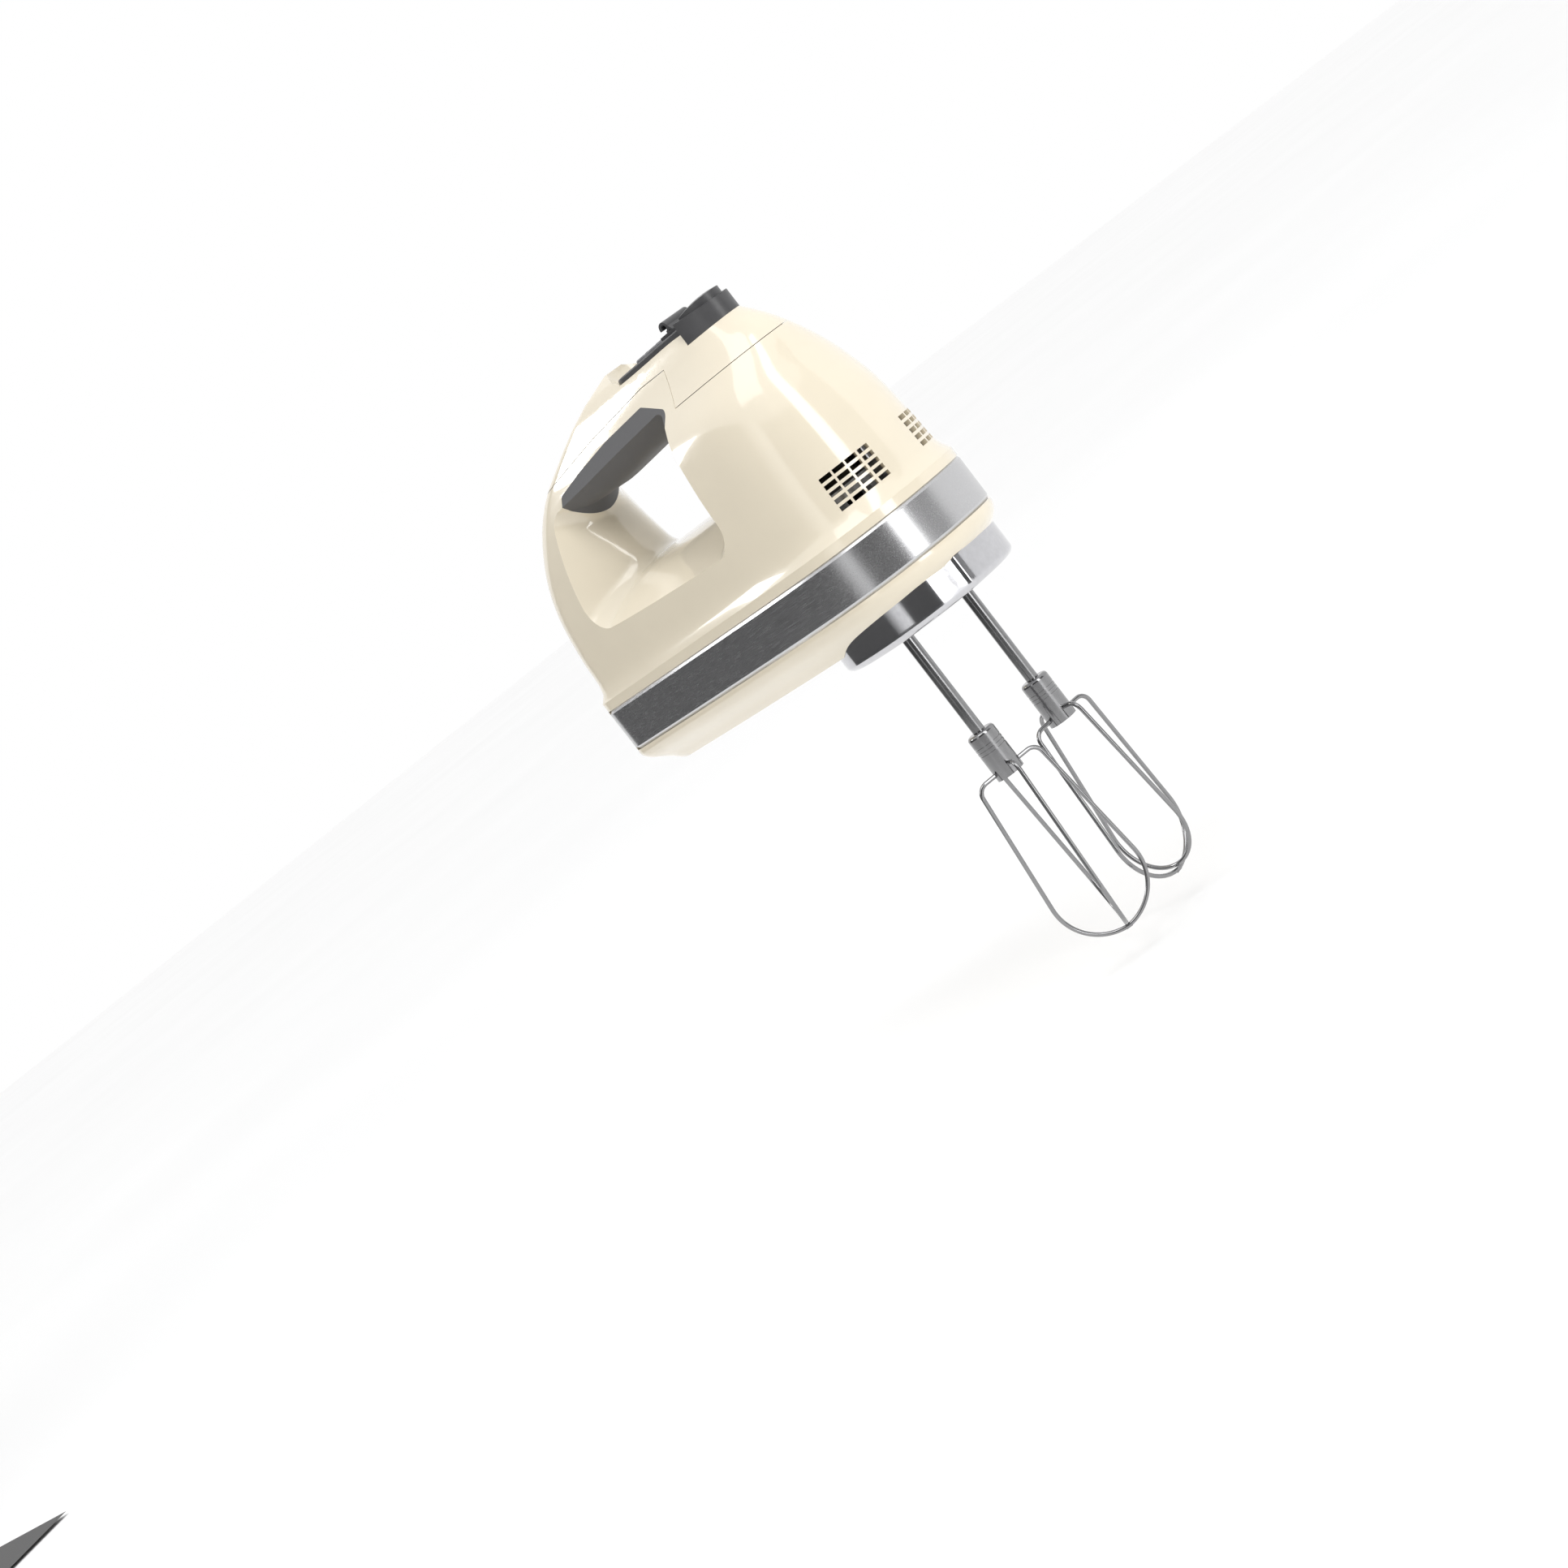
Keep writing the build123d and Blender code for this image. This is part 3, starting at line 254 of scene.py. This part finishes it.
slot_of = {row["node"]: row["material_slot"] for row in frame["record"]["subparts"]}


def dress(node, material):
    """Give a CAD node its material."""
    mesh = frame["nodes"][node].data
    mesh.materials.clear()
    mesh.materials.append(material)


for node, slot in slot_of.items():
    dress(node, MATERIALS[slot])


# ---------------------------------------------------------------- smooth pieces

WELD = 2e-6              # metres; vertices nearer than this are one vertex
SHARP = 28.0             # degrees; an edge that bends more than this stays crisp
BAND_SHARP = 12.0        # degrees; keeps the trim band's shallow bevel flat
BEVEL_MARGIN = 4.0       # degrees beyond the sharp angle before an edge is rounded over
BEVEL_SEGMENTS = 2

body_of = {
    node: body
    for body, nodes in frame["record"]["behaviour"]["bodies"].items()
    for node in nodes
}


def add_object(name, data):
    """A new object in the scene."""
    fresh = bpy.data.objects.new(name, data)
    bpy.context.scene.collection.objects.link(fresh)
    return fresh


def refined(node, sharp=SHARP, bevel=0.0):
    """A welded, smooth-shaded piece in a CAD node's shape; a bevel, in metres, rounds its sharp edges."""
    source = frame["nodes"][node]
    mesh = source.data.copy()
    mesh.transform(source.matrix_world)
    shape = bmesh.new()
    shape.from_mesh(mesh)
    bmesh.ops.remove_doubles(shape, verts=shape.verts, dist=WELD)
    bmesh.ops.dissolve_degenerate(shape, edges=shape.edges, dist=WELD)
    for face in shape.faces:
        face.smooth = True
    for edge in shape.edges:
        edge.smooth = len(edge.link_faces) == 2 and edge.calc_face_angle(0.0) < radians(sharp)
    fresh = bpy.data.meshes.new(node + "_skin")
    shape.to_mesh(fresh)
    shape.free()
    piece = add_object(node + "_skin", fresh)
    fresh.materials.append(MATERIALS[slot_of[node]])
    if bevel:
        edge_round = piece.modifiers.new("edge_round", "BEVEL")
        edge_round.width = bevel
        edge_round.segments = BEVEL_SEGMENTS
        edge_round.limit_method = "ANGLE"
        edge_round.angle_limit = radians(sharp + BEVEL_MARGIN)
        edge_round.harden_normals = True
        edge_round.use_clamp_overlap = True
    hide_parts(node)
    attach(piece, body_of[node])


for node in ("upper_housing", "handle_cover", "handle_grip", "lower_housing"):
    refined(node)
refined("trim_band", sharp=BAND_SHARP)
refined("beater_collar")
refined("front_cap", bevel=0.0003)
refined("control_panel")
refined("ejector_button", bevel=0.0005)
refined("power_slide", bevel=0.0003)
for side in ("left", "right"):
    for loop in ("outer_loop", "inner_loop"):
        refined(f"{side}_{loop}")


# ---------------------------------------------------------------- camera

CAMERA_TURN = radians(45.0)       # round the mixer, from its right side towards its nose
CAMERA_RISE = radians(3.6)        # above the horizontal
CAMERA_TILT = radians(37.6)       # roll, so that the beaters point down to the right
CAMERA_DISTANCE = 1.1             # metres from the point aimed at
CAMERA_AIM = Vector((0.163, 0.0, -0.010))
AIM_OFFSET = (141.9, 269.6)       # pixels, from the picture's middle to the point aimed at
PICTURE_WIDTH = 1932.0            # pixels
FOCAL_LENGTH = 3520.0             # pixels
SENSOR_WIDTH = 36.0               # millimetres


def view_camera():
    """The camera: low, off the nose's right side, and tilted so that the beaters point down to the right."""
    back = Vector((
        sin(CAMERA_TURN) * cos(CAMERA_RISE),
        -cos(CAMERA_TURN) * cos(CAMERA_RISE),
        sin(CAMERA_RISE),
    ))
    level_right = Vector((cos(CAMERA_TURN), sin(CAMERA_TURN), 0.0))
    level_up = back.cross(level_right)
    right = cos(CAMERA_TILT) * level_right - sin(CAMERA_TILT) * level_up
    up = sin(CAMERA_TILT) * level_right + cos(CAMERA_TILT) * level_up
    basis = Matrix((right, up, back)).transposed()
    target = Vector((*AIM_OFFSET, -FOCAL_LENGTH)).normalized()
    swing = target.rotation_difference(Vector((0, 0, -1))).to_matrix()
    camera = add_object("camera", bpy.data.cameras.new("camera"))
    camera.data.sensor_width = SENSOR_WIDTH
    camera.data.lens = SENSOR_WIDTH * FOCAL_LENGTH / PICTURE_WIDTH
    place = Matrix.Translation(CAMERA_AIM + back * CAMERA_DISTANCE)
    camera.matrix_world = place @ (basis @ swing).to_4x4()
    bpy.context.scene.camera = camera


view_camera()


# ---------------------------------------------------------------- stage

STAGE_MIDDLE = (0.12, 0.0, 0.03)
FLOOR_GAP = 0.012                 # metres between the beaters' tips and the floor
FLOOR_HALF_SIZE = 14.0            # metres
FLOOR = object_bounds()[0][2] - FLOOR_GAP
APRON_LIFT = 0.002                # metres above the floor
CARD_RADIUS = 1.7                 # metres from the stage's middle
CARD_TOP = 1.1                    # metres above the origin
STRIPE_TOP = 3.4
APRON_RADIUS = 0.85               # the apron's inner edge
DEGREES_PER_STEP = 4


def area_light(name, place, target, size, power):
    """A soft square light that faces a point; the size is in metres and the power in watts."""
    data = bpy.data.lights.new(name, "AREA")
    data.shape = "RECTANGLE"
    data.size = size
    data.size_y = size
    data.energy = power
    place = Vector(place)
    facing = (Vector(target) - place).to_track_quat("-Z", "Y").to_matrix()
    lamp = add_object(name, data)
    lamp.matrix_world = Matrix.Translation(place) @ facing.to_4x4()


def paint(name, color, roughness=0.8):
    """A plain stage finish with a faint mottle."""
    shader = Shader(name, color, roughness)
    mottle = shader.noise(2, 2, 0.5)
    shader.colour(shader.ramp(mottle, [(0.0, shade(color, 0.97)), (1.0, shade(color, 1.03))]))
    return shader.material


def glow(name, strength, stops):
    """A light panel; the stops give its brightness from one side edge to the other."""
    material = bpy.data.materials.new(name)
    material.use_nodes = True
    nodes, links = material.node_tree.nodes, material.node_tree.links
    nodes.clear()
    output = nodes.new("ShaderNodeOutputMaterial")
    light = nodes.new("ShaderNodeEmission")
    light.inputs["Strength"].default_value = strength
    ramp = nodes.new("ShaderNodeValToRGB")
    fill_ramp(ramp, [(place, (level, level, level)) for place, level in stops])
    across = nodes.new("ShaderNodeUVMap")
    split = nodes.new("ShaderNodeSeparateXYZ")
    links.new(across.outputs["UV"], split.inputs["Vector"])
    links.new(split.outputs["X"], ramp.inputs["Fac"])
    links.new(ramp.outputs["Color"], light.inputs["Color"])
    links.new(light.outputs["Emission"], output.inputs["Surface"])
    return material


def stage_sheet(name, vertices, faces, material):
    """A flat or curved sheet with its material, added to the scene."""
    mesh = bpy.data.meshes.new(name)
    mesh.from_pydata(vertices, [], faces)
    mesh.materials.append(material)
    sheet = add_object(name, mesh)
    return mesh


def arc(start, end):
    """The steps between two angles and the direction at each; 0 is the right side and 90 the nose."""
    steps = max(2, round(abs(end - start) / DEGREES_PER_STEP))
    angles = [radians(start + (end - start) * step / steps) for step in range(steps + 1)]
    return steps, [(sin(angle), -cos(angle)) for angle in angles]


def card(name, start, end, top, material):
    """A tall curved card that stands on the floor and shapes what the glossy surfaces reflect."""
    steps, directions = arc(start, end)
    vertices = [
        (STAGE_MIDDLE[0] + CARD_RADIUS * x, CARD_RADIUS * y, height)
        for x, y in directions
        for height in (FLOOR, top)
    ]
    faces = [(2 * step, 2 * step + 2, 2 * step + 3, 2 * step + 1) for step in range(steps)]
    mesh = stage_sheet(name, vertices, faces, material)
    layer = mesh.uv_layers.new(name="across")
    for loop in mesh.loops:
        layer.data[loop.index].uv = ((loop.vertex_index // 2) / steps, loop.vertex_index % 2)


def apron(name, start, end, material):
    """A ring-shaped card just above the floor; one corner shows at the picture's lower left."""
    steps, directions = arc(start, end)
    vertices = [
        (STAGE_MIDDLE[0] + radius * x, radius * y, FLOOR + APRON_LIFT)
        for x, y in directions
        for radius in (APRON_RADIUS, CARD_RADIUS)
    ]
    faces = [(2 * step, 2 * step + 1, 2 * step + 3, 2 * step + 2) for step in range(steps)]
    stage_sheet(name, vertices, faces, material)


def stage_floor():
    """A wide pale floor."""
    corners = [
        (x * FLOOR_HALF_SIZE, y * FLOOR_HALF_SIZE, FLOOR)
        for x, y in ((-1, -1), (1, -1), (1, 1), (-1, 1))
    ]
    stage_sheet("floor", corners, [(0, 1, 2, 3)], paint("floor_paint", (0.96, 0.96, 0.96)))


def white_room():
    """An even white surround."""
    world = bpy.data.worlds.new("room")
    bpy.context.scene.world = world
    world.use_nodes = True
    background = world.node_tree.nodes["Background"]
    background.inputs["Color"].default_value = (1, 1, 1, 1)
    background.inputs["Strength"].default_value = 1.0


bpy.context.scene.view_settings.view_transform = "Standard"
stage_floor()
white_room()
grey = paint("grey_card", (0.16, 0.16, 0.16))
middle_grey = paint("middle_card", (0.3, 0.3, 0.3))
side_glow = glow("side_glow", 1.2, [(0.0, 0.1), (0.55, 0.85), (0.85, 1.0), (1.0, 0.5)])
stripe_glow = glow("stripe_glow", 4.6, [(0.0, 1.0), (0.8, 1.0), (1.0, 0.8)])
card("card_rear", -80, -8, CARD_TOP, grey)
card("light_side", -8, 16, CARD_TOP, side_glow)
card("card_camera", 16, 69, CARD_TOP, grey)
card("light_stripe", 69, 87, STRIPE_TOP, stripe_glow)
card("card_nose", 87, 126, CARD_TOP, middle_grey)
apron("apron", -80, 69, paint("apron_paint", (0.1, 0.1, 0.1)))
area_light("key", (0.5, -0.7, 1.3), STAGE_MIDDLE, 0.8, 4.0)
area_light("heel", (-0.9, -0.6, 0.7), STAGE_MIDDLE, 0.25, 2.0)
